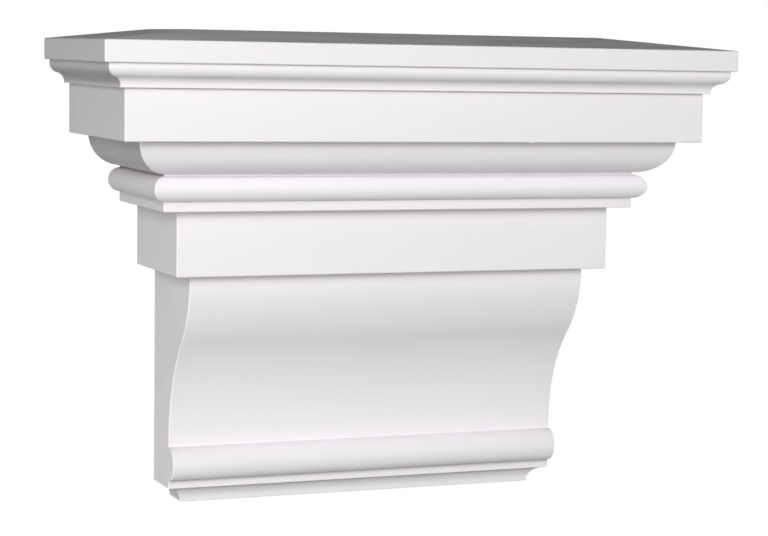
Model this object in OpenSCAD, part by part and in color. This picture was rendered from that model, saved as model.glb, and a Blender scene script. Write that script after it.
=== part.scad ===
// Moulded wall corbel: one solid piece with a flat back.
// A hipped slab, a small ogee, a frieze, a quarter round, a bead and a neck
// return on both ends down to a console whose front falls in an S-curve to a
// bead, a fillet and a cove.
//
// Frame: X along the wall, +Z up, the front faces -Y. The back lies on y = 0.
// The origin is on the back face, midway along, level with the slab's top arris.

/* [Slab] */
// Width of the slab, end to end
slab_w = 420; // [380:1:510]
// Projection of the slab from the wall
slab_d = 154; // [140:1:190]
// Height of the slab's upright edge
slab_h = 13.4; // [9:0.1:20]

/* [Weathering on top] */
// Rise of the sloped top above the slab's arris
weathering_rise = 7; // [2:0.5:12]
// Run of each slope, in from the slab's edge to the flat
weathering_run = 68; // [40:1:90]

/* [Ogee under the slab] */
// Inset of the ogee's upper lip from the slab's face
ogee_lip_in = 3.3; // [1:0.1:6]
// Height of the upright lip above the ogee
ogee_lip_h = 2.5; // [1:0.1:5]
// Horizontal reach of the ogee
ogee_reach = 9.4; // [5:0.1:11.4]
// Height of the ogee
ogee_h = 11.5; // [11.5:0.1:18]
// Share of the ogee that is the convex upper arc
ogee_share = 0.5; // [0.35:0.05:0.65]
// Height of the small fillet under the ogee
ogee_fillet_h = 0.8; // [0.5:0.1:4]

/* [Frieze] */
// Inset of the frieze from the small fillet
frieze_in = 3.5; // [1:0.1:10]
// Height of the frieze
frieze_h = 32; // [28:0.5:48]

/* [Quarter round] */
// Depth of the soffit between the frieze and the quarter round
soffit_d = 12.4; // [4:0.1:16]
// Radius of the quarter round
round_r = 21; // [12:0.5:26]

/* [Bead and fillet] */
// Height of the quirk between the quarter round and the bead
quirk_h = 1.4; // [0.5:0.1:4]
// Radius of the half-round bead
bead_r = 7.8; // [4:0.1:10]
// Height of the fillet under the bead
fillet_h = 6.5; // [3:0.1:12]

/* [Neck] */
// Inset of the neck from the fillet
neck_in = 11.9; // [6:0.1:16]
// Height of the neck
neck_h = 41.6; // [24:0.1:60]

/* [Console] */
// Inset of the console's ends from the neck's ends
console_end_in = 12; // [4:0.1:20]
// Inset of the console's head from the neck's face
console_head_in = 11.4; // [4:0.1:20]
// Projection of the console's foot from the wall
foot_d = 35.1; // [25:0.1:45]
// Height of the S-curve
curve_h = 111.6; // [80:0.1:150]
// Share of the S-curve that is the convex upper arc
crown_share = 0.405; // [0.3:0.005:0.6]
// Height of the straight stretch below the S-curve
foot_straight_h = 5; // [2:0.5:20]

/* [Console foot] */
// Radius of the half-round lower bead
low_bead_r = 11; // [6:0.1:14]
// Height of the fillet under the lower bead
low_fillet_h = 5.8; // [3:0.1:12]
// Radius of the cove at the very bottom
cove_r = 11; // [5:0.1:16]

/* [Hidden] */
$fn = 96;
// How far each profile runs past its own zero line, so that halves overlap
lap = 5;
// Level inside the slab from which the narrower members hang
hang_z = -slab_h / 2;

// Levels, downwards from the slab's top arris
lip_z = -slab_h - ogee_lip_h;
ogee_z = lip_z - ogee_h;
frieze_z = ogee_z - ogee_fillet_h;
soffit_z = frieze_z - frieze_h;
round_z = soffit_z - round_r;
bead_top_z = round_z - quirk_h;
bead_z = bead_top_z - bead_r;
fillet_z = bead_z - bead_r;
neck_top_z = fillet_z - fillet_h;
neck_z = neck_top_z - neck_h;
curve_z = neck_z - curve_h;
low_bead_top_z = curve_z - foot_straight_h;
low_bead_z = low_bead_top_z - low_bead_r;
low_fillet_z = low_bead_z - low_bead_r;
cove_top_z = low_fillet_z - low_fillet_h;
base_z = cove_top_z - cove_r;

// Insets from the slab's face
ogee_foot_in = ogee_lip_in + ogee_reach;
frieze_face_in = ogee_foot_in + frieze_in;
fillet_face_in = frieze_face_in + soffit_d + round_r;
neck_face_in = fillet_face_in + neck_in;
console_half_w = slab_w / 2 - neck_face_in - console_end_in;

// Projections of the console's front from the wall
head_d = slab_d - neck_face_in - console_head_in;

// An S of two tangent arcs, upright at both ends: the angle that each arc
// turns through, and the sum of their radii, for a given reach and height
function s_turn(reach, height) = 2 * atan(reach / height);
function s_radii(reach, height) = height / sin(s_turn(reach, height));

// A plain member: from behind the zero line out to the reach, between two levels
module band(reach, top, bottom) {
    translate([-lap, bottom]) square([lap + reach, top - bottom]);
}

// The two arcs of an S that falls from the level top and the reach out_top to
// the reach out_bottom, with everything behind them
module s_band(out_top, out_bottom, top, height, share) {
    reach = out_top - out_bottom;
    turn = s_turn(reach, height);
    upper_r = share * s_radii(reach, height);
    lower_r = (1 - share) * s_radii(reach, height);
    bend_out = out_top - upper_r * (1 - cos(turn));
    bend_z = top - upper_r * sin(turn);
    band(out_bottom, top, top - height);
    intersection() {
        translate([out_top - upper_r, top]) circle(upper_r);
        band(out_top + lap, top, bend_z);
    }
    difference() {
        band(bend_out, bend_z, top - height);
        translate([out_bottom + lower_r, top - height]) circle(lower_r);
    }
    band(bend_out, top, bend_z);
}

// Slab with its sloped top, at a face that lies face_out from the zero line
module slab_profile(face_out) {
    polygon([
        [-lap, -slab_h],
        [face_out, -slab_h],
        [face_out, 0],
        [face_out - weathering_run, weathering_rise],
        [-lap, weathering_rise]
    ]);
}

// Upright lip, ogee and small fillet under the slab
module ogee_profile(face_out) {
    band(face_out - ogee_lip_in, hang_z, lip_z);
    s_band(face_out - ogee_lip_in, face_out - ogee_foot_in, lip_z, ogee_h, ogee_share);
    band(face_out - ogee_foot_in, hang_z, frieze_z);
}

// Frieze, with the quarter round that swells from its soffit
module frieze_profile(face_out) {
    band(face_out - frieze_face_in, hang_z, soffit_z);
    translate([face_out - fillet_face_in, soffit_z]) circle(round_r);
}

// Bead between its quirk and its fillet
module bead_profile(face_out) {
    band(face_out - fillet_face_in, hang_z, neck_top_z);
    translate([face_out - fillet_face_in, bead_z]) circle(bead_r);
}

// Neck block
module neck_profile(face_out) {
    band(face_out - neck_face_in, hang_z, neck_z);
}

// Cove that ends the console at the bottom
module cove_profile(foot_out) {
    difference() {
        band(foot_out, low_fillet_z, base_z);
        translate([foot_out, base_z]) circle(cove_r);
    }
}

// Every member that returns on the ends, down to the neck
module crown_profile(face_out) {
    slab_profile(face_out);
    ogee_profile(face_out);
    frieze_profile(face_out);
    bead_profile(face_out);
    neck_profile(face_out);
}

// Outline from the side: what shows beyond the ends of the wall line
module side_outline() {
    crown_profile(slab_d);
    band(foot_d, hang_z, cove_top_z);
    s_band(head_d, foot_d, neck_z, curve_h, crown_share);
    translate([foot_d, low_bead_z]) circle(low_bead_r);
    cove_profile(foot_d);
}

// Half the outline from the front: the same members, and the console's flat end
module front_half_outline() {
    crown_profile(slab_w / 2);
    band(console_half_w, hang_z, cove_top_z);
    cove_profile(console_half_w);
}

// The corbel is what the two outlines share, so that every corner is mitred
module corbel() {
    color("whitesmoke") intersection() {
        translate([-slab_w / 2, 0, 0]) mirror([0, 1, 0]) rotate([90, 0, 90])
            linear_extrude(slab_w) side_outline();
        rotate([90, 0, 0]) linear_extrude(slab_d) {
            front_half_outline();
            mirror([1, 0]) front_half_outline();
        }
    }
}

corbel();
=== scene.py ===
"""Moulded wall corbel with a primed white skin, above a pale floor.

Metres, Z up, X along the wall. The back lies in the plane y = 0 and the front faces -Y. The corbel is
one moulding, so it is one piece: a profile of half width, depth and height, carried round the plan from
the wall, along one end, the front and the other end, and back to the wall. A flat back closes it.
"""

import logging
import math
from dataclasses import dataclass, field
from enum import Enum

import bpy
import numpy as np
from mathutils import Matrix, Vector
from mathutils.geometry import delaunay_2d_cdt

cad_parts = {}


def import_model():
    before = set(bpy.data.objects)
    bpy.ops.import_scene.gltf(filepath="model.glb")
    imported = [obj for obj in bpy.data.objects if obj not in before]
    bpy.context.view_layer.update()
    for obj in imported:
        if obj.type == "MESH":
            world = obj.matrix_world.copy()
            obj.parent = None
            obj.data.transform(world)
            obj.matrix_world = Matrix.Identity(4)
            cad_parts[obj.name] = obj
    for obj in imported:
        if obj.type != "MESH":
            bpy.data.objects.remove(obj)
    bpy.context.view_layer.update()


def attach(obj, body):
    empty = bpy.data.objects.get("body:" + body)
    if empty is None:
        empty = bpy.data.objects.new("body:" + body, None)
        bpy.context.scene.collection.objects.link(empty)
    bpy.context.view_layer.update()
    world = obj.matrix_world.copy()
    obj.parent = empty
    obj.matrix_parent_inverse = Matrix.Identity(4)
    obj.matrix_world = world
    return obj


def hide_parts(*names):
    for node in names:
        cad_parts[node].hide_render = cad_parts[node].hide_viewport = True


LOG = logging.getLogger("corbel")
MM = 0.001
FULL_TURN = 2.0 * math.pi
QUARTER = math.pi / 2
SHARP_DEGREES = 50.0
WELD_DECIMALS = 7
FLAT_TOLERANCE = 1e-7
WHITE = (1.0, 1.0, 1.0, 1.0)

Colour = tuple[float, float, float, float]
Triple = tuple[float, float, float]


# ---------------------------------------------------------------- profile


class Turn(Enum):
    """Which way an arc of the profile bulges."""

    OUT = "out"
    IN = "in"


@dataclass(frozen=True)
class MouldingSizes:
    """Sizes of the corbel's members in millimetres, from the top down."""

    slab_half: float = 210.0
    slab_depth: float = 154.0
    slab_height: float = 13.4
    weathering_rise: float = 7.0
    weathering_run: float = 68.0
    lip_in: float = 3.3
    lip_height: float = 2.5
    ogee_reach: float = 9.4
    ogee_height: float = 11.5
    ogee_share: float = 0.5
    ogee_fillet: float = 0.8
    frieze_in: float = 3.5
    frieze_height: float = 32.0
    soffit: float = 12.4
    round_radius: float = 21.0
    quirk: float = 1.4
    bead_radius: float = 7.8
    fillet: float = 6.5
    neck_in: float = 11.9
    neck_height: float = 41.6
    console_end_in: float = 12.0
    console_head_in: float = 11.4
    foot_depth: float = 35.1
    curve_height: float = 111.6
    crown_share: float = 0.405
    foot_straight: float = 5.0
    low_bead_radius: float = 11.0
    low_fillet: float = 5.8
    cove_radius: float = 11.0

    @property
    def frieze_half(self) -> float:
        """Half the frieze's width."""
        return self.slab_half - self.lip_in - self.ogee_reach - self.frieze_in

    @property
    def frieze_front(self) -> float:
        """Depth of the frieze's front."""
        return self.slab_depth - self.lip_in - self.ogee_reach - self.frieze_in

    @property
    def console_half(self) -> float:
        """Half the console's width."""
        return self.frieze_half - self.soffit - self.round_radius - self.neck_in - self.console_end_in

    @property
    def lip_foot(self) -> float:
        """Height at which the lip ends and the ogee begins."""
        return -self.slab_height - self.lip_height

    @property
    def ogee_foot(self) -> float:
        """Height at which the ogee ends."""
        return self.lip_foot - self.ogee_height

    @property
    def frieze_head(self) -> float:
        """Height of the frieze's upper edge."""
        return self.ogee_foot - self.ogee_fillet

    @property
    def frieze_foot(self) -> float:
        """Height of the frieze's lower arris."""
        return self.frieze_head - self.frieze_height

    @property
    def round_foot(self) -> float:
        """Height at which the quarter round ends."""
        return self.frieze_foot - self.round_radius

    @property
    def neck_head(self) -> float:
        """Height of the neck's upper edge."""
        return self.round_foot - self.quirk - 2.0 * self.bead_radius - self.fillet

    @property
    def neck_foot(self) -> float:
        """Height of the neck's lower arris."""
        return self.neck_head - self.neck_height

    @property
    def cove_head(self) -> float:
        """Height of the cove's upper edge."""
        low_bead_head = self.neck_foot - self.curve_height - self.foot_straight
        return low_bead_head - 2.0 * self.low_bead_radius - self.low_fillet

    @property
    def base(self) -> float:
        """Height of the base."""
        return self.cove_head - self.cove_radius


@dataclass(frozen=True)
class Easing:
    """Setbacks of the profile's corners in millimetres."""

    crisp: float = 0.9
    brow: float = 0.8
    soft: float = 0.6
    inner: float = 0.35


@dataclass(frozen=True)
class HollowShade:
    """Painted shade in the hollows along the front, from 0 to 1: how far the coat is darkened at each
    corner where shade falls.
    """

    frieze_head: float = 0.25
    round_head: float = 0.25
    bead_foot: float = 0.25
    neck_head: float = 0.3
    console_head: float = 0.6
    low_bead_foot: float = 1.0
    cove_head: float = 1.0


@dataclass(frozen=True)
class CurvePoints:
    """How many points each curve of the profile has, or each arc of an ogee."""

    ogee: int = 9
    quarter_round: int = 16
    bead: int = 17
    console: int = 26
    low_bead: int = 21
    cove: int = 10


@dataclass
class Profile:
    """A growing list of profile points: half width, depth, height, easing of the corner, and painted
    shade.

    The point moves down the corbel member by member. Along a mitred member the half width and the depth
    change together; along the console's front only the depth does.
    """

    half: float
    depth: float
    height: float
    rows: list[np.ndarray] = field(default_factory=list)

    def mark(self, ease: float = 0.0, painted_shade: float = 0.0) -> None:
        """Keep the present point, as a corner with that easing and that much painted shade."""
        self.rows.append(np.array([[self.half, self.depth, self.height, ease, painted_shade]]))

    def step(
        self,
        inset: float = 0.0,
        drop: float = 0.0,
        ease: float = 0.0,
        inset_half: float | None = None,
        painted_shade: float = 0.0,
    ) -> None:
        """Go straight in and down, and keep the point reached.

        Args:
            inset: how far the depth shrinks.
            drop: how far the height falls.
            ease: setback of the corner reached.
            inset_half: how far the half width shrinks, if not as much as the depth.
            painted_shade: how much painted shade darkens the finish round the corner reached, from 0 to 1.
        """
        self.depth -= inset
        self.half -= inset if inset_half is None else inset_half
        self.height -= drop
        self.mark(ease, painted_shade)

    def curve(self, inset: np.ndarray, drop: np.ndarray, mitred: bool = True) -> None:
        """Follow a curve given as insets and drops from the present point.

        Args:
            inset: inset of each point of the curve.
            drop: drop of each point of the curve.
            mitred: whether the half width shrinks with the depth.
        """
        half = self.half - (inset if mitred else 0.0 * inset)
        depth, height = self.depth - inset, self.height - drop
        none = np.zeros_like(height)
        self.rows.append(np.column_stack([half, depth, height, none, none]))
        self.half, self.depth, self.height = half[-1], depth[-1], height[-1]

    def touch(self, point: int, ease: float = 0.0, painted_shade: float = 0.0) -> None:
        """Give one point of the curve just followed an easing and some painted shade."""
        self.rows[-1][point, 3:] = ease, painted_shade

    def bead(self, radius: float, count: int, mitred: bool = True) -> None:
        """Half round: inset is minus r sin a and drop is r (1 - cos a), a from 0 to a half turn."""
        angle = np.linspace(0.0, math.pi, count)[1:]
        self.curve(-radius * np.sin(angle), radius * (1.0 - np.cos(angle)), mitred)

    def quarter(self, radius: float, turn: Turn, count: int) -> None:
        """Quarter round. OUT: inset r (1 - cos a), drop r sin a. IN: inset r sin a, drop r (1 - cos a).

        Args:
            radius: radius of the arc.
            turn: which way it bulges.
            count: points on it.
        """
        angle = np.linspace(0.0, QUARTER, count)[1:]
        along, across = radius * np.sin(angle), radius * (1.0 - np.cos(angle))
        self.curve(across, along) if turn is Turn.OUT else self.curve(along, across)

    def ogee(self, reach: float, height: float, share: float, count: int, mitred: bool = True) -> None:
        """Two arcs that meet without a corner, upright at both ends, the bulging one on top.

        Both turn by twice the angle whose tangent is reach over height, so the two radii add up to
        height over the sine of that turn, and share is the upper arc's part of them. Upper arc: inset
        r (1 - cos a), drop r sin a. Lower arc: the same, counted back from the foot.

        Args:
            reach: inset of the whole curve.
            height: drop of the whole curve.
            share: the upper arc's part of the two radii.
            count: points on each arc.
            mitred: whether the half width shrinks with the depth.
        """
        turn = 2.0 * math.atan(reach / height)
        radii = height / math.sin(turn)
        upper, lower = share * radii, (1.0 - share) * radii
        down = np.linspace(0.0, turn, count)[1:]
        back = np.linspace(turn, 0.0, count)[1:]
        inset = np.concatenate([upper * (1.0 - np.cos(down)), reach - lower * (1.0 - np.cos(back))])
        drop = np.concatenate([upper * np.sin(down), height - lower * np.sin(back)])
        self.curve(inset, drop, mitred)

    def points(self) -> np.ndarray:
        """All kept points, one row each."""
        return np.vstack(self.rows)


def corbel_profile(s: MouldingSizes) -> np.ndarray:
    """The corbel's profile from the middle of its top, out, down and back in to the middle of its base.

    Args:
        s: the members' sizes.

    Returns:
        Rows of half width, depth, height and easing, in millimetres, and painted shade.
    """
    # The corners marked below carry painted shade: the coat is darkened in the front's hollows, where
    # shade falls.
    ease, painted_shade, count = Easing(), HollowShade(), CurvePoints()
    p = Profile(0.0, 0.0, s.weathering_rise)
    p.mark()
    p.step(s.weathering_run - s.slab_depth, ease=ease.brow, inset_half=s.weathering_run - s.slab_half)
    p.step(-s.weathering_run, s.weathering_rise, ease.crisp)
    p.step(drop=s.slab_height, ease=ease.crisp)
    p.step(s.lip_in, ease=ease.inner)
    p.step(drop=s.lip_height)
    p.ogee(s.ogee_reach, s.ogee_height, s.ogee_share, count.ogee)
    p.step(drop=s.ogee_fillet, ease=ease.inner)
    p.step(s.frieze_in, ease=ease.inner, painted_shade=painted_shade.frieze_head)
    p.step(drop=s.frieze_height, ease=ease.crisp)
    p.step(s.soffit, ease=ease.inner, painted_shade=painted_shade.round_head)
    p.quarter(s.round_radius, Turn.OUT, count.quarter_round)
    p.step(drop=s.quirk)
    p.bead(s.bead_radius, count.bead)
    p.touch(-1, painted_shade=painted_shade.bead_foot)
    p.step(drop=s.fillet, ease=ease.soft)
    p.step(s.neck_in, ease=ease.inner, painted_shade=painted_shade.neck_head)
    p.step(drop=s.neck_height, ease=ease.crisp)
    p.step(s.console_head_in, ease=ease.inner, inset_half=s.console_end_in, painted_shade=painted_shade.console_head)
    p.ogee(p.depth - s.foot_depth, s.curve_height, s.crown_share, count.console, mitred=False)
    p.step(drop=s.foot_straight)
    p.bead(s.low_bead_radius, count.low_bead, mitred=False)
    p.touch(-1, painted_shade=painted_shade.low_bead_foot)
    p.step(drop=s.low_fillet, ease=ease.soft)
    p.quarter(s.cove_radius, Turn.IN, count.cove)
    p.touch(1, painted_shade=painted_shade.cove_head)
    p.touch(-1, ease=ease.soft)
    p.step(p.depth, inset_half=p.half)
    return p.points()


def eased(rows: np.ndarray, steps: int = 4, most: float = 0.45) -> np.ndarray:
    """Replace each eased corner by a quarter of an ellipse that meets both sides.

    With u the direction into the corner, v the one out of it, t the setback and a from 0 to a quarter
    turn, the points are corner - t u (1 - sin a) + t v (1 - cos a).

    Args:
        rows: half width, depth, height, easing and painted shade of each point.
        steps: pieces that each eased corner is made of.
        most: the greatest setback, as a share of either side.

    Returns:
        Rows of half width, depth and height.
    """
    points, ease = rows[:, :3], rows[:, 3]
    gap = np.diff(points, axis=0)
    length = np.hypot(gap[:, 1], gap[:, 2])
    heading = gap / length[:, None]
    came, goes = np.vstack([heading[:1], heading]), np.vstack([heading, heading[-1:]])
    room = most * np.minimum(np.append(length[0], length), np.append(length, length[-1]))
    setback = np.minimum(ease, room)[:, None, None]
    angle = np.linspace(0.0, QUARTER, steps + 1)[None, :, None]
    made = (
        points[:, None, :]
        - setback * came[:, None, :] * (1.0 - np.sin(angle))
        + setback * goes[:, None, :] * (1.0 - np.cos(angle))
    )
    kept = (ease[:, None] > 0.0) | (np.arange(steps + 1)[None, :] == 0)
    return made[kept]


def refined(points: np.ndarray, longest: float, flat_longest: float) -> np.ndarray:
    """Divide every side of the profile into equal pieces no longer than wanted.

    Args:
        points: half width, depth and height of each point.
        longest: the longest piece allowed.
        flat_longest: the longest piece allowed on the flat top and base.

    Returns:
        The profile with the new points added.
    """
    gap = np.diff(points, axis=0)
    allowed = np.full(len(gap), longest)
    allowed[[0, -1]] = flat_longest
    pieces = np.maximum(1, np.ceil(np.hypot(gap[:, 1], gap[:, 2]) / allowed)).astype(int)
    side = np.repeat(np.arange(len(gap)), pieces)
    place = np.arange(len(side)) - np.repeat(np.cumsum(pieces) - pieces, pieces)
    share = place / np.repeat(pieces, pieces)
    return np.vstack([points[side] + gap[side] * share[:, None], points[-1:]])


def front_hollow_shade(rows: np.ndarray, points: np.ndarray, reach: float) -> np.ndarray:
    """Painted shade along the front, near the profile's points that are marked with it.

    The value is the greatest of each marked point's shade times e to minus the squared distance over
    reach, with the distance measured in depth and height.

    Args:
        rows: the profile before its corners are eased.
        points: the finished profile's points.
        reach: how far the painted shade spreads.

    Returns:
        A value from 0 to 1 for each point.
    """
    marked = rows[rows[:, 4] > 0.0]
    far = np.linalg.norm(points[:, None, 1:3] - marked[None, :, 1:3], axis=-1)
    return (marked[None, :, 4] * np.exp(-((far / reach) ** 2))).max(axis=1)


# ---------------------------------------------------------------- meshes


def welded_mesh(
    name: str,
    vertices: np.ndarray,
    quads: np.ndarray,
    caps: np.ndarray | None = None,
    marks: dict[str, np.ndarray] | None = None,
) -> bpy.types.Object:
    """Make an object from four-sided faces, with equal points joined and faces without area left out.

    A face whose neighbouring corners are one point becomes a triangle; one with fewer than three
    different corners is dropped.

    Args:
        name: the piece's name.
        vertices: one point a row, in metres.
        quads: four vertex numbers a row, anticlockwise seen from outside.
        caps: three vertex numbers a row, for triangles that close an opening.
        marks: named values of each point, which a material can read.

    Returns:
        The new object, at the origin.
    """
    rounded = np.round(vertices, WELD_DECIMALS)
    _, first, where = np.unique(rounded, axis=0, return_index=True, return_inverse=True)
    quads = where.ravel()[quads]
    same = quads == np.roll(quads, -1, axis=1)
    full = quads[same.sum(axis=1) == 0]
    part, flags = quads[same.sum(axis=1) == 1], same[same.sum(axis=1) == 1]
    order = (np.argmax(flags, axis=1)[:, None] + np.arange(1, 4)[None, :]) % 4
    threes = np.take_along_axis(part, order, axis=1)
    closing = [] if caps is None else where.ravel()[caps].tolist()
    mesh = bpy.data.meshes.new(name)
    mesh.from_pydata(vertices[first].tolist(), [], full.tolist() + threes.tolist() + closing)
    mesh.update()
    mesh.validate()
    mesh.shade_smooth()
    mesh.set_sharp_from_angle(angle=math.radians(SHARP_DEGREES))
    for label, values in (marks or {}).items():
        mark = mesh.attributes.new(label, "FLOAT", "POINT")
        mark.data.foreach_set("value", values[first].astype(np.float32))
    made = bpy.data.objects.new(name, mesh)
    bpy.context.scene.collection.objects.link(made)
    return made


def grid_quads(rows: int, columns: int, looped: bool) -> np.ndarray:
    """Vertex numbers of a grid's faces, row by row.

    Args:
        rows: rows of vertices.
        columns: vertices in a row.
        looped: whether the last column joins the first.

    Returns:
        Four vertex numbers a row.
    """
    upper = np.arange(rows - 1)[:, None] * columns
    lower = upper + columns
    along = np.arange(columns if looped else columns - 1)[None, :]
    after = (along + 1) % columns
    corners = [upper + along, lower + along, lower + after, upper + after]
    return np.stack(corners, axis=-1).reshape(-1, 4)


def back_triangles(grid: np.ndarray) -> np.ndarray:
    """Triangles that close the flat back, between the first and the last column of the grid.

    The first and last rows are single points, so each is counted once.

    Args:
        grid: points as an array of rows by columns by 3.

    Returns:
        Three vertex numbers a row, facing the wall.
    """
    rows, columns = grid.shape[:2]
    down = np.arange(rows) * columns
    rim = np.concatenate([down, down[-2:0:-1] + columns - 1])
    flat = [Vector(point) for point in grid.reshape(-1, 3)[rim][:, [0, 2]].tolist()]
    inside_only = 1
    outline = [list(range(len(rim)))]
    _, _, threes, came_from, _, _ = delaunay_2d_cdt(flat, [], outline, inside_only, FLAT_TOLERANCE)
    first_of = np.array([origins[0] for origins in came_from])
    return rim[first_of[np.array(threes)[:, ::-1]]]


def graded(count: int, crowd: float) -> np.ndarray:
    """Shares from 0 to 1 that crowd towards both ends: t - crowd sin(2 pi t) / (2 pi)."""
    t = np.linspace(0.0, 1.0, count)
    return t - crowd * np.sin(FULL_TURN * t) / FULL_TURN


@dataclass(frozen=True)
class Columns:
    """How many columns the grid has, how they crowd, and the least gap between two along the front."""

    end: int = 26
    corner: int = 6
    front: int = 74
    end_crowd: float = 0.6
    front_crowd: float = 0.8
    least_gap: float = 0.0006


@dataclass(frozen=True)
class PlanPath:
    """The plan's outline as weights on half width, depth and the two corner radii.

    A point is x = (half - r) p + r q + s m and y = -(depth - r) u - r v - s n, with r the radius of the
    front corners and s that of the corners at the wall. One row of weights holds p, q, m, u, v, n. No
    radius is more than its share of the member's half width or depth.
    """

    weights: np.ndarray
    front_radius: float
    wall_radius: float
    front_share: float = 0.3
    wall_share: float = 0.2

    @property
    def ahead(self) -> np.ndarray:
        """How far each column faces ahead: 1 along the front, 0 along the ends."""
        return self.weights[:, 4][None, :]

    @property
    def aside(self) -> np.ndarray:
        """How far each column faces aside: -1 along the left end, 1 along the right one."""
        return np.sign(self.weights[:, 0])[None, :] * (1.0 - self.ahead)

    @staticmethod
    def round_the_plan(
        columns: Columns, near: np.ndarray, front_radius: float, wall_radius: float
    ) -> "PlanPath":
        """The outline from the wall along the left end, the front and the right end, back to the wall.

        Args:
            columns: how many columns there are.
            near: places along the front, from -1 to 1, that have columns of their own.
            front_radius: radius of the front corners.
            wall_radius: radius of the corners at the wall.

        Returns:
            The path.
        """
        a = np.linspace(0.0, QUARTER, columns.corner)[:-1]
        wall = np.column_stack([-1 + 0 * a, -1 + 0 * a, 1 - np.sin(a), 0 * a, 0 * a, 1 - np.cos(a)])
        t = graded(columns.end, columns.end_crowd)[:-1]
        left = np.column_stack([-1 + 0 * t, -1 + 0 * t, 0 * t, t, 0 * t, 1 - t])
        bend = np.column_stack([-1 + 0 * a, -np.cos(a), 0 * a, 1 + 0 * a, np.sin(a), 0 * a])
        w = np.unique(np.concatenate([2.0 * graded(columns.front, columns.front_crowd) - 1.0, near]))
        w = w[np.diff(w, prepend=-2.0) > columns.least_gap]
        ahead = np.column_stack([w, 0 * w, 0 * w, 1 + 0 * w, 1 + 0 * w, 0 * w])
        outward = np.vstack([wall, left, bend])
        mirrored = outward[::-1] * np.array([-1.0, -1.0, -1.0, 1.0, 1.0, 1.0])
        return PlanPath(np.vstack([outward, ahead, mirrored]), front_radius, wall_radius)

    def sweep(self, profile: np.ndarray) -> np.ndarray:
        """Carry the profile round the plan.

        Args:
            profile: rows of half width, depth and height.

        Returns:
            Points as an array of rows by columns by 3.
        """
        half, depth, height = (profile[:, i][:, None] for i in range(3))
        p, q, m, u, v, n = (self.weights[:, i][None, :] for i in range(6))
        least = np.minimum(half, depth)
        r = np.minimum(self.front_radius, self.front_share * least)
        s = np.minimum(self.wall_radius, self.wall_share * least)
        x = (half - r) * p + r * q + s * m
        y = -(depth - r) * u - r * v - s * n
        return np.stack([x, y, np.broadcast_to(height, x.shape)], axis=-1)


# ---------------------------------------------------------------- finishes


def shader_tree(name: str) -> tuple[bpy.types.Material, bpy.types.NodeTree, bpy.types.Node]:
    """A new node material.

    Args:
        name: the finish's name.

    Returns:
        The material, its tree and its Principled shader.
    """
    material = bpy.data.materials.new(name)
    material.use_nodes = True
    return material, material.node_tree, material.node_tree.nodes["Principled BSDF"]


class Mark(Enum):
    """Names of the values that the corbel's mesh carries for its painted shade and the top's dust."""

    # painted shade in the hollows and on the ends
    HOLLOW_SHADE = "hollow_shade"
    # streaks of dust with painted shade on the top
    TOP_DUST_AND_SHADE = "upper"


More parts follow.
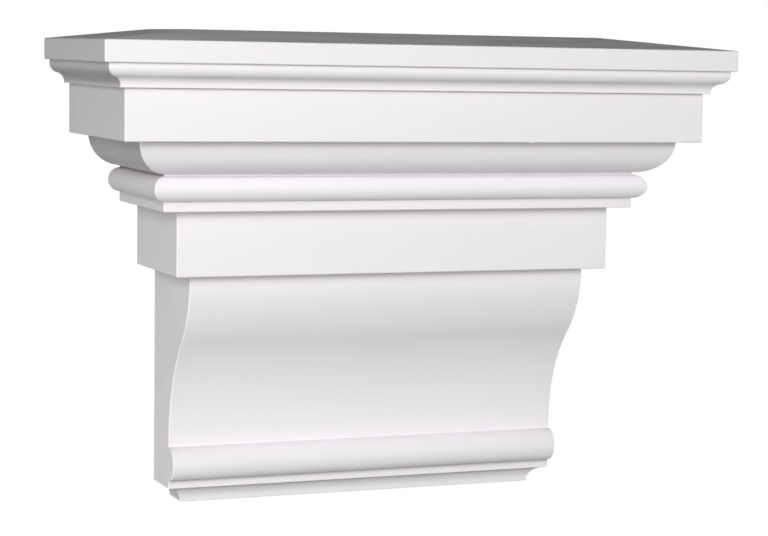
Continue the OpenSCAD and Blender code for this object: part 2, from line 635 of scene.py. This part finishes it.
@dataclass(frozen=True)
class PrimerCoat:
    """Factory primer on the moulding: white, satin, with a faint spray grain.

    Its colour is darkened by painted shade in the hollows and on the ends, and on the top by streaks of
    dust with painted shade. The clouds and the scuffs are stretched by a scale along each axis, and what
    each adds is a low and a high value.
    """

    name: str = "white_primer"
    light: Colour = (0.880, 0.856, 0.880, 1.0)
    shade: Colour = (0.862, 0.838, 0.862, 1.0)
    # the tone mixed in for painted shade, and on the top for dust with painted shade
    painted_shade: Colour = (0.50, 0.482, 0.497, 1.0)
    noise_ends: tuple[float, float] = (0.3, 0.7)
    clouds: Triple = (7.0, 7.0, 110.0)
    cloud_detail: float = 4.0
    scuffs: Triple = (14.0, 60.0, 60.0)
    scuff_detail: float = 5.0
    # how far the hollows' painted shade and the top's dust with painted shade go, over the scuff pattern
    hollow_shade_range: tuple[float, float] = (0.85, 1.0)
    top_dust_and_shade_range: tuple[float, float] = (0.34, 0.884)
    gloss_scale: float = 54.0
    gloss_detail: float = 3.0
    roughness: tuple[float, float] = (0.42, 0.56)
    grain_scale: float = 900.0
    grain_detail: float = 2.0
    grain_height: float = 0.00003
    grain_strength: float = 0.5
    refraction: float = 1.46
    mirror_level: float = 0.35

    def noise(
        self, tree: bpy.types.NodeTree, place: bpy.types.NodeSocket, scale: float, detail: float
    ) -> bpy.types.NodeSocket:
        """A noise pattern.

        Args:
            tree: the material's tree.
            place: where the pattern is read.
            scale: how fine it is.
            detail: how many finer patterns it holds.

        Returns:
            The pattern's value.
        """
        made = tree.nodes.new("ShaderNodeTexNoise")
        made.inputs["Scale"].default_value = scale
        made.inputs["Detail"].default_value = detail
        tree.links.new(place, made.inputs["Vector"])
        return made.outputs["Fac"]

    def stretched(
        self, tree: bpy.types.NodeTree, place: bpy.types.NodeSocket, scales: Triple, detail: float
    ) -> bpy.types.NodeSocket:
        """A noise pattern with a scale of its own along each axis.

        Args:
            tree: the material's tree.
            place: Object coordinates.
            scales: how fine it is along X, Y and Z.
            detail: how many finer patterns it holds.

        Returns:
            The pattern's value.
        """
        made = tree.nodes.new("ShaderNodeMapping")
        made.inputs["Scale"].default_value = scales
        tree.links.new(place, made.inputs["Vector"])
        return self.noise(tree, made.outputs["Vector"], 1.0, detail)

    def spread(
        self, tree: bpy.types.NodeTree, source: bpy.types.NodeSocket, ends: tuple[float, float]
    ) -> bpy.types.NodeSocket:
        """A noise value spread over a range.

        Args:
            tree: the material's tree.
            source: the noise value.
            ends: the values given where the noise is low and where it is high.

        Returns:
            The spread value.
        """
        made = tree.nodes.new("ShaderNodeMapRange")
        made.inputs["From Min"].default_value, made.inputs["From Max"].default_value = self.noise_ends
        made.inputs["To Min"].default_value, made.inputs["To Max"].default_value = ends
        tree.links.new(source, made.inputs["Value"])
        return made.outputs["Result"]

    def marked(
        self, tree: bpy.types.NodeTree, mark: Mark, other: bpy.types.NodeSocket
    ) -> bpy.types.NodeSocket:
        """One of the mesh's marks times another value.

        Args:
            tree: the material's tree.
            mark: the mark to read.
            other: the other value.

        Returns:
            The product.
        """
        read = tree.nodes.new("ShaderNodeAttribute")
        read.attribute_name = mark.value
        made = tree.nodes.new("ShaderNodeMath")
        made.operation = "MULTIPLY"
        tree.links.new(read.outputs["Fac"], made.inputs[0])
        tree.links.new(other, made.inputs[1])
        return made.outputs["Value"]

    def colour(self, tree: bpy.types.NodeTree, place: bpy.types.NodeSocket) -> bpy.types.NodeSocket:
        """The coat's colour: two close whites in clouds, then the painted shade tone mixed in by the
        greater mark.

        Args:
            tree: the material's tree.
            place: Object coordinates.

        Returns:
            The colour.
        """
        tint = tree.nodes.new("ShaderNodeMix")
        tint.data_type = "RGBA"
        tint.inputs["A"].default_value = self.light
        tint.inputs["B"].default_value = self.shade
        tree.links.new(self.stretched(tree, place, self.clouds, self.cloud_detail), tint.inputs["Factor"])
        scuff = self.stretched(tree, place, self.scuffs, self.scuff_detail)
        # painted shade in the hollows and on the ends; dust streaks with painted shade on the top
        hollow_shade = self.marked(tree, Mark.HOLLOW_SHADE, self.spread(tree, scuff, self.hollow_shade_range))
        upper = self.marked(tree, Mark.TOP_DUST_AND_SHADE, self.spread(tree, scuff, self.top_dust_and_shade_range))
        amount = tree.nodes.new("ShaderNodeMath")
        amount.operation = "MAXIMUM"
        tree.links.new(hollow_shade, amount.inputs[0])
        tree.links.new(upper, amount.inputs[1])
        # mix towards the painted shade tone by the greater of the two
        shaded = tree.nodes.new("ShaderNodeMix")
        shaded.data_type = "RGBA"
        shaded.inputs["B"].default_value = self.painted_shade
        tree.links.new(tint.outputs["Result"], shaded.inputs["A"])
        tree.links.new(amount.outputs["Value"], shaded.inputs["Factor"])
        return shaded.outputs["Result"]

    def build(self) -> bpy.types.Material:
        """Make the material: clouds and marks drive the colour, a finer pattern the gloss, grain the bump.

        Returns:
            The material.
        """
        material, tree, shader = shader_tree(self.name)
        place = tree.nodes.new("ShaderNodeTexCoord").outputs["Object"]
        gloss = self.noise(tree, place, self.gloss_scale, self.gloss_detail)
        grain = self.noise(tree, place, self.grain_scale, self.grain_detail)
        bump = tree.nodes.new("ShaderNodeBump")
        bump.inputs["Strength"].default_value = self.grain_strength
        bump.inputs["Distance"].default_value = self.grain_height
        tree.links.new(grain, bump.inputs["Height"])
        tree.links.new(self.colour(tree, place), shader.inputs["Base Color"])
        tree.links.new(self.spread(tree, gloss, self.roughness), shader.inputs["Roughness"])
        tree.links.new(bump.outputs["Normal"], shader.inputs["Normal"])
        shader.inputs["IOR"].default_value = self.refraction
        shader.inputs["Specular IOR Level"].default_value = self.mirror_level
        return material


@dataclass(frozen=True)
class FloorPaint:
    """Plain pale matt paint that keeps the shadow and fades to the backdrop's white at the rim.

    The fade runs between two distances from the floor's middle, in metres.
    """

    name: str = "floor_paint"
    colour: Colour = (0.54, 0.54, 0.545, 1.0)
    glow: float = 0.6
    fade_from: float = 0.6
    fade_to: float = 0.97
    roughness: float = 0.9
    mirror_level: float = 0.1

    def build(self, level: float) -> bpy.types.Material:
        """Make the material: the paint, with an even glow and a white rim on camera rays only.

        Args:
            level: the floor's height, from which the fade's distances to the origin follow.

        Returns:
            The material.
        """
        material, tree, shader = shader_tree(self.name)
        shader.inputs["Base Color"].default_value = self.colour
        shader.inputs["Roughness"].default_value = self.roughness
        shader.inputs["Specular IOR Level"].default_value = self.mirror_level
        shader.inputs["Emission Color"].default_value = WHITE
        ray = tree.nodes.new("ShaderNodeLightPath").outputs["Is Camera Ray"]
        place = tree.nodes.new("ShaderNodeTexCoord")
        radius = tree.nodes.new("ShaderNodeVectorMath")
        radius.operation = "LENGTH"
        fade = tree.nodes.new("ShaderNodeMapRange")
        fade.interpolation_type = "SMOOTHSTEP"
        fade.inputs["From Min"].default_value = math.hypot(self.fade_from, level)
        fade.inputs["From Max"].default_value = math.hypot(self.fade_to, level)
        seen_glow = tree.nodes.new("ShaderNodeMath")
        seen_glow.operation = "MULTIPLY"
        seen_glow.inputs[1].default_value = self.glow
        seen_fade = tree.nodes.new("ShaderNodeMath")
        seen_fade.operation = "MULTIPLY"
        white = tree.nodes.new("ShaderNodeEmission")
        white.inputs["Color"].default_value = WHITE
        white.inputs["Strength"].default_value = 1.0
        mix = tree.nodes.new("ShaderNodeMixShader")
        link = tree.links.new
        link(ray, seen_glow.inputs[0])
        link(seen_glow.outputs["Value"], shader.inputs["Emission Strength"])
        link(place.outputs["Object"], radius.inputs[0])
        link(radius.outputs["Value"], fade.inputs["Value"])
        link(fade.outputs["Result"], seen_fade.inputs[0])
        link(ray, seen_fade.inputs[1])
        link(seen_fade.outputs["Value"], mix.inputs["Fac"])
        link(shader.outputs["BSDF"], mix.inputs[1])
        link(white.outputs["Emission"], mix.inputs[2])
        link(mix.outputs["Shader"], tree.nodes["Material Output"].inputs["Surface"])
        return material


# ---------------------------------------------------------------- the corbel


@dataclass(frozen=True)
class Burr:
    """A bead of primer that hangs from the frieze's lower arris, in millimetres.

    It falls off over its width to the left and that much more steeply to the right. Its columns run
    from a place left of it to one right of it.
    """

    x: float = 72.0
    width: float = 5.0
    steeper: float = 3.0
    fall: float = 0.7
    reach: float = 1.2
    column_ends: tuple[float, float] = (-7.0, 4.0)
    column_count: int = 16

    def columns(self) -> np.ndarray:
        """Places along the front that have columns of their own."""
        return self.x + np.linspace(*self.column_ends, self.column_count)

    def drop(self, points: np.ndarray, arris: float, front: float) -> np.ndarray:
        """How far each point falls: a lopsided tent along the arris, fading within its reach.

        The fade is e to minus the squared distance from the arris over reach.

        Args:
            points: grid of points, in millimetres.
            arris: height of the arris.
            front: depth of the frieze's front.

        Returns:
            The fall at each point, in millimetres.
        """
        along = (points[..., 0] - self.x) / self.width
        tent = np.clip(1.0 - np.where(along < 0.0, -along, self.steeper * along), 0.0, 1.0)
        far = np.hypot(points[..., 2] - arris, points[..., 1] + front)
        return self.fall * tent * np.exp(-((far / self.reach) ** 2))


@dataclass(frozen=True)
class Nib:
    """A speck of grit under the primer, as a low round bump on the front, in millimetres."""

    x: float
    height: float
    rise: float = 0.45
    radius: float = 1.1
    column_count: int = 7

    def columns(self) -> np.ndarray:
        """Places along the front that have columns of their own."""
        return self.x + np.linspace(-2.0 * self.radius, 2.0 * self.radius, self.column_count)

    def swell(self, points: np.ndarray) -> np.ndarray:
        """Rise of the bump at each point: rise times e to minus the squared distance over radius."""
        far = np.hypot(points[..., 0] - self.x, points[..., 2] - self.height)
        return self.rise * np.exp(-((far / self.radius) ** 2))


@dataclass(frozen=True)
class EndShade:
    """Painted shade on the members of the two ends, where the overhangs shade them, from 0 to 1.

    The runs are in millimetres: down from a member's head, or up from the ogee's foot. At a member's
    edge the painted shade starts or stops over twice the edge.
    """

    edge: float = 0.1
    cove: float = 0.4
    console: float = 0.4
    console_run: float = 3.7
    neck: float = 0.25
    neck_run: float = 2.3
    round_lower: float = 0.68
    round_upper: float = 0.56
    round_run: float = 0.2
    ogee_end: float = 0.4
    ogee: float = 0.8
    ogee_runs: tuple[float, float] = (2.4, 7.4)
    slab: float = 0.16

    def at(self, height: np.ndarray, s: MouldingSizes) -> np.ndarray:
        """The painted shade at each height, straight between levels that run from the base up.

        Args:
            height: the heights.
            s: the members' sizes.

        Returns:
            The painted shade at each height.
        """
        edge, (ogee_low, ogee_high) = self.edge, self.ogee_runs
        levels = (
            (s.base, self.cove),
            (s.cove_head - edge, self.cove),
            (s.cove_head + edge, 0.0),
            (s.neck_foot - self.console_run, 0.0),
            (s.neck_foot - edge, self.console),
            (s.neck_foot + edge, 0.0),
            (s.neck_head - self.neck_run, 0.0),
            (s.neck_head - edge, self.neck),
            (s.neck_head + edge, 0.0),
            (s.round_foot - edge, 0.0),
            (s.round_foot + edge, self.round_lower),
            (s.frieze_foot - self.round_run, self.round_upper),
            (s.frieze_foot + edge, 0.0),
            (s.frieze_head - edge, 0.0),
            (s.ogee_foot, self.ogee_end),
            (s.ogee_foot + ogee_low, self.ogee),
            (s.ogee_foot + ogee_high, self.ogee),
            (s.lip_foot - edge, self.ogee_end),
            (-s.slab_height + edge, self.slab),
            (0.0, self.slab),
        )
        return np.interp(height, *np.array(levels).T)


@dataclass(frozen=True)
class Waves:
    """Long crossed waves of the cast skin: each has lengths along X, Y and Z and a start."""

    depth: float = 0.12
    waves: tuple[tuple[float, float, float, float], ...] = (
        (31.0, 47.0, math.inf, 0.4),
        (-53.0, math.inf, 23.0, 1.9),
        (17.0, 29.0, 41.0, 3.1),
    )

    def short(self, points: np.ndarray) -> np.ndarray:
        """How far the skin lies behind its true face: the sines of x/a + y/b + z/c + start, made positive.

        Args:
            points: grid of points, in millimetres.

        Returns:
            The shortfall at each point, from nought to the depth, in millimetres.
        """
        x, y, z = points[..., 0], points[..., 1], points[..., 2]
        total = sum(np.sin(x / a + y / b + z / c + start) for a, b, c, start in self.waves)
        count = len(self.waves)
        return self.depth * (total + count) / (2.0 * count)


@dataclass(frozen=True)
class CorbelMoulding:
    """The corbel: one hard foam moulding with a primed skin. Its sizes are in millimetres."""

    sizes: MouldingSizes = field(default_factory=MouldingSizes)
    columns: Columns = field(default_factory=Columns)
    front_radius: float = 0.9
    wall_radius: float = 0.4
    row_step: float = 3.0
    flat_row_step: float = 14.0
    waves: Waves = field(default_factory=Waves)
    waves_clear_of_wall: float = 12.0
    burr: Burr = field(default_factory=Burr)
    nibs: tuple[Nib, ...] = (Nib(-129.5, -281.4), Nib(-133.0, -293.5, 0.3), Nib(134.0, -283.2))
    # painted shade in the front's hollows and on the ends, faded out near the wall
    hollow_shade_reach: float = 1.9
    end_shade: EndShade = field(default_factory=EndShade)
    shade_clear_of_wall: float = 2.0
    # the top's dust streaks with painted shade, darker towards the right end
    top_mark_start: float = -0.6
    top_dust_and_shade_ends: tuple[float, float] = (0.7, 1.0)
    finish: PrimerCoat = field(default_factory=PrimerCoat)

    def profile(self) -> np.ndarray:
        """The eased and refined profile."""
        return refined(eased(corbel_profile(self.sizes)), self.row_step, self.flat_row_step)

    def path(self) -> PlanPath:
        """The plan's path, with columns of its own at the burr and the nibs.

        Returns:
            The path.
        """
        burr = self.burr.columns() / self.sizes.frieze_half
        nibs = [nib.columns() / self.sizes.console_half for nib in self.nibs]
        near = np.concatenate([burr, *nibs])
        return PlanPath.round_the_plan(self.columns, near, self.front_radius, self.wall_radius)

    def marks(self, path: PlanPath, grid: np.ndarray) -> dict[str, np.ndarray]:
        """The values that the finish reads: painted shade in the hollows and on the ends, and on the top
        dust streaks with painted shade.

        Args:
            path: the plan's path.
            grid: grid of points.

        Returns:
            One value a point under each mark's name.
        """
        points, half = self.profile(), self.sizes.slab_half
        # painted shade: round the front's marked corners, and by height on the ends
        front = front_hollow_shade(corbel_profile(self.sizes), points, self.hollow_shade_reach)[:, None]
        ends = self.end_shade.at(points[:, 2], self.sizes)[:, None]
        clear = np.clip(-grid[..., 1] / self.shade_clear_of_wall, 0.0, 1.0)
        hollow_shade = (path.ahead * front + (1.0 - path.ahead) * ends) * clear
        # the top: dust streaks with painted shade, more towards the right end
        top_share = np.clip(grid[..., 2] - self.top_mark_start, 0.0, 1.0)
        upper = top_share * np.interp(grid[..., 0], (-half, half), self.top_dust_and_shade_ends)
        return {Mark.HOLLOW_SHADE.value: hollow_shade.ravel(), Mark.TOP_DUST_AND_SHADE.value: upper.ravel()}

    def skin(self) -> tuple[np.ndarray, dict[str, np.ndarray]]:
        """The skin with its waves, burr and nibs.

        Returns:
            Points as an array of rows by columns by 3, and their marks.
        """
        path, s = self.path(), self.sizes
        grid = path.sweep(self.profile())
        short = self.waves.short(grid) * np.clip(-grid[..., 1] / self.waves_clear_of_wall, 0.0, 1.0)
        grid[..., 1] += short * path.ahead
        grid[..., 0] -= short * path.aside
        grid[..., 2] -= self.burr.drop(grid, s.frieze_foot, s.frieze_front)
        for nib in self.nibs:
            grid[..., 1] -= nib.swell(grid) * path.ahead
        return grid, self.marks(path, grid)

    def dress(self, piece: bpy.types.Object) -> None:
        """Even out the shading of the flats between sharp edges, and give the piece its finish.

        Args:
            piece: the bare piece.
        """
        even = piece.modifiers.new("even_normals", "WEIGHTED_NORMAL")
        even.keep_sharp = True
        piece.data.materials.append(self.finish.build())

    def build(self) -> bpy.types.Object:
        """Make the piece, dress it, and let it stand for the CAD node.

        Returns:
            The finished piece.
        """
        grid, marks = self.skin()
        rows, columns = grid.shape[:2]
        quads, caps = grid_quads(rows, columns, False), back_triangles(grid)
        piece = welded_mesh("corbel_moulding", grid.reshape(-1, 3) * MM, quads, caps, marks)
        self.dress(piece)
        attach(piece, "root")
        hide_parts("corbel")
        LOG.info("%s: %d rows, %d columns, %d faces", piece.name, rows, columns, len(piece.data.polygons))
        return piece


# ---------------------------------------------------------------- stage, light, camera


@dataclass(frozen=True)
class Stage:
    """A round pale floor, clear below the corbel. Its radius and height are in metres."""

    reach: float = 1.0
    level: float = -0.62
    rings: int = 9
    sectors: int = 96
    paint: FloorPaint = field(default_factory=FloorPaint)

    def build(self) -> bpy.types.Object:
        """Make the floor, a disc whose points are x = r cos a and y = r sin a.

        Returns:
            The floor.
        """
        angle = np.linspace(0.0, FULL_TURN, self.sectors + 1)[:-1][None, :]
        radius = np.linspace(0.0, self.reach, self.rings)[:, None]
        x, y = radius * np.cos(angle), radius * np.sin(angle)
        points = np.stack([x, y, np.full_like(x, self.level)], axis=-1).reshape(-1, 3)
        made = welded_mesh("floor", points, grid_quads(self.rings, self.sectors, True))
        made.data.materials.append(self.paint.build(self.level))
        LOG.info("%s: %d faces", made.name, len(made.data.polygons))
        return made


@dataclass(frozen=True)
class SoftBox:
    """A square studio lamp that points at the corbel's middle: metres, watts and degrees of spread."""

    name: str
    place: Triple
    side: float
    watts: float
    spread: float = 180.0
    aim: Triple = (0.0, -0.08, -0.14)

    def build(self) -> bpy.types.Object:
        """Make the lamp at its place: its -Z along the line to the aim, its X level.

        Returns:
            The lamp.
        """
        data = bpy.data.lights.new(self.name, "AREA")
        data.shape = "SQUARE"
        data.size = self.side
        data.energy = self.watts
        data.spread = math.radians(self.spread)
        lamp = bpy.data.objects.new(self.name, data)
        lamp.visible_camera = False
        bpy.context.scene.collection.objects.link(lamp)
        line = np.array(self.aim) - np.array(self.place)
        forward = line / np.linalg.norm(line)
        across = np.cross(forward, [0.0, 0.0, 1.0])
        across /= np.linalg.norm(across)
        turn = np.column_stack([across, np.cross(across, forward), -forward])
        lamp.matrix_world = Matrix.Translation(self.place) @ Matrix(turn.tolist()).to_4x4()
        LOG.info("lamp: %s", lamp.name)
        return lamp


@dataclass(frozen=True)
class Lighting:
    """Soft lamps round the corbel, and a dim even world that is white to the camera."""

    lamps: tuple[SoftBox, ...] = (
        SoftBox("front", (-0.6, -2.8, 0.0), 1.6, 16.0),
        SoftBox("front_high", (-0.6, -2.8, 0.45), 1.2, 32.5),
        SoftBox("left_high", (-1.36, -1.68, 0.64), 0.72, 19.8),
        SoftBox("left", (-0.72, 0.05, -0.5), 0.18, 0.21, 70.0),
        SoftBox("right", (2.5, 0.3, -0.3), 0.5, 8.0),
        SoftBox("right_low", (0.72, 0.05, -0.5), 0.18, 0.17, 70.0),
        SoftBox("behind", (0.9, 2.4, -0.3), 0.5, 26.0),
    )
    world_level: float = 0.065
    backdrop_level: float = 1.0

    def build(self) -> None:
        """Make the lamps, and a world of one strength as a light and another as a backdrop."""
        for lamp in self.lamps:
            lamp.build()
        world = bpy.data.worlds.new("studio")
        bpy.context.scene.world = world
        world.use_nodes = True
        tree = world.node_tree
        light = tree.nodes["Background"]
        light.inputs["Color"].default_value = WHITE
        light.inputs["Strength"].default_value = self.world_level
        backdrop = tree.nodes.new("ShaderNodeBackground")
        backdrop.inputs["Color"].default_value = WHITE
        backdrop.inputs["Strength"].default_value = self.backdrop_level
        ray = tree.nodes.new("ShaderNodeLightPath")
        mix = tree.nodes.new("ShaderNodeMixShader")
        tree.links.new(ray.outputs["Is Camera Ray"], mix.inputs["Fac"])
        tree.links.new(light.outputs["Background"], mix.inputs[1])
        tree.links.new(backdrop.outputs["Background"], mix.inputs[2])
        tree.links.new(mix.outputs["Shader"], tree.nodes["World Output"].inputs["Surface"])


@dataclass(frozen=True)
class StudioCamera:
    """The camera, a little left of the front and looking slightly down: metres, degrees, millimetres.

    The shift is a share of the picture's width.
    """

    place: Triple = (-0.5444, -1.45549, -0.00166)
    yaw: float = 23.0592
    pitch: float = -6.2815
    roll: float = 1.0916
    lens: float = 107.207
    sensor: float = 36.0
    shift: tuple[float, float] = (-0.0859375, 0.0416666667)
    clip: tuple[float, float] = (0.05, 30.0)

    def build(self) -> bpy.types.Object:
        """Make the camera, which looks along +Y at first: turned right by yaw, raised by pitch, rolled.

        Returns:
            The camera.
        """
        data = bpy.data.cameras.new("camera")
        data.sensor_width = self.sensor
        data.lens = self.lens
        data.shift_x, data.shift_y = self.shift
        data.clip_start, data.clip_end = self.clip
        camera = bpy.data.objects.new("camera", data)
        bpy.context.scene.collection.objects.link(camera)
        turn = (
            Matrix.Rotation(math.radians(-self.yaw), 4, "Z")
            @ Matrix.Rotation(math.radians(90.0 + self.pitch), 4, "X")
            @ Matrix.Rotation(math.radians(self.roll), 4, "Z")
        )
        camera.matrix_world = Matrix.Translation(self.place) @ turn
        bpy.context.scene.camera = camera
        LOG.info("camera: %s mm lens", self.lens)
        return camera


# ---------------------------------------------------------------- main


def main() -> None:
    """Load the frame, build the corbel, the stage, the lights and the camera."""
    logging.basicConfig(level=logging.INFO, format="%(name)s: %(message)s")
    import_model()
    scene = bpy.context.scene
    scene.view_settings.view_transform = "Standard"
    StudioCamera().build()
    Lighting().build()
    CorbelMoulding().build()
    Stage().build()
    bpy.context.view_layer.update()


if __name__ == "__main__":
    main()
